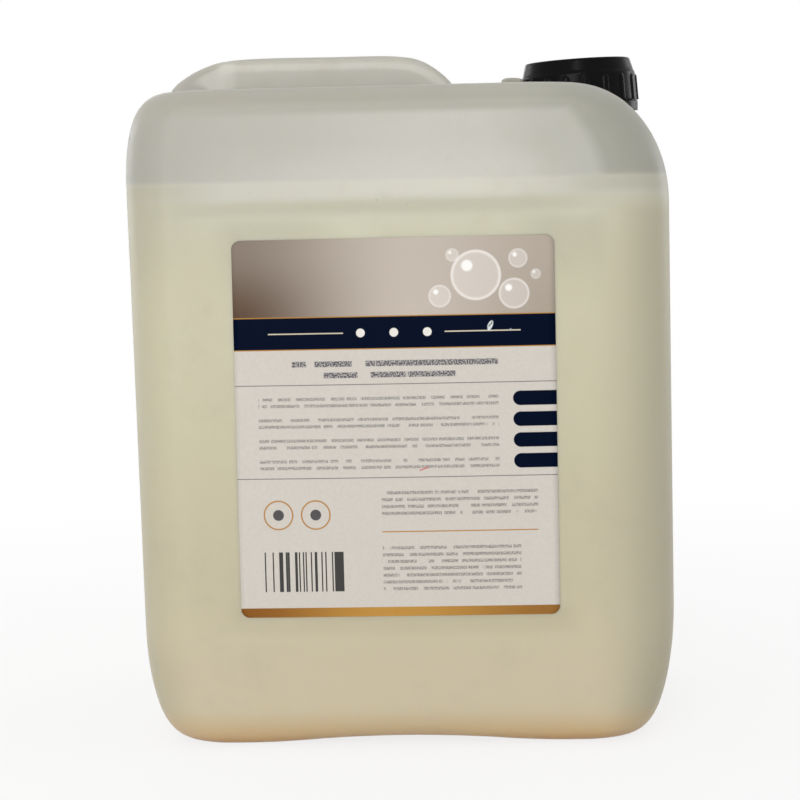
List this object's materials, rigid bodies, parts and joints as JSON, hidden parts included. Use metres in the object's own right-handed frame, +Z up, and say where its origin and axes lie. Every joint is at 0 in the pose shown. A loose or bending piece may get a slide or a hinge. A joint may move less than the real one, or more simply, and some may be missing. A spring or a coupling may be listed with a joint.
{
  "type": "soap refill can",
  "caption": "Upright translucent plastic can of liquid hand soap with a moulded carrying handle, a black ribbed screw cap with a tamper ring, and a printed front label.",
  "frame": {"origin": "middle of the base, on the plane of the feet that the can stands on", "axes": "+X to the right along the can's width, from the handle to the neck; the label faces -Y; +Z up"},
  "size_m": [0.19, 0.1457, 0.2442],
  "materials": {
    "natural_plastic": "satin, translucent",
    "soap": "liquid",
    "label": "semi-gloss print",
    "black_plastic": "fine grain",
    "liner_foam": "matte"
  },
  "bodies": {
    "can_body": {"can": "natural_plastic", "soap": "soap", "label": "label", "tamper_ring": "black_plastic"},
    "liner": {"cap_liner": "liner_foam"},
    "cap": {"screw_cap": "black_plastic"}
  },
  "joints": [
    {"name": "liner_lift", "type": "slide", "parent": "can_body", "child": "liner", "axis": [-0.0471, 0, 0.9989], "range_m": [0, 0.0081]},
    {"name": "cap_turn", "type": "hinge", "parent": "liner", "child": "cap", "pos_m": [0.066, 0, 0.223], "axis": [-0.0471, 0, 0.9989], "range_deg": [0, 720]}
  ],
  "couplings": [
    {"joint": "liner_lift", "follows": "cap_turn", "m_per_rad": 0.00063662}
  ]
}
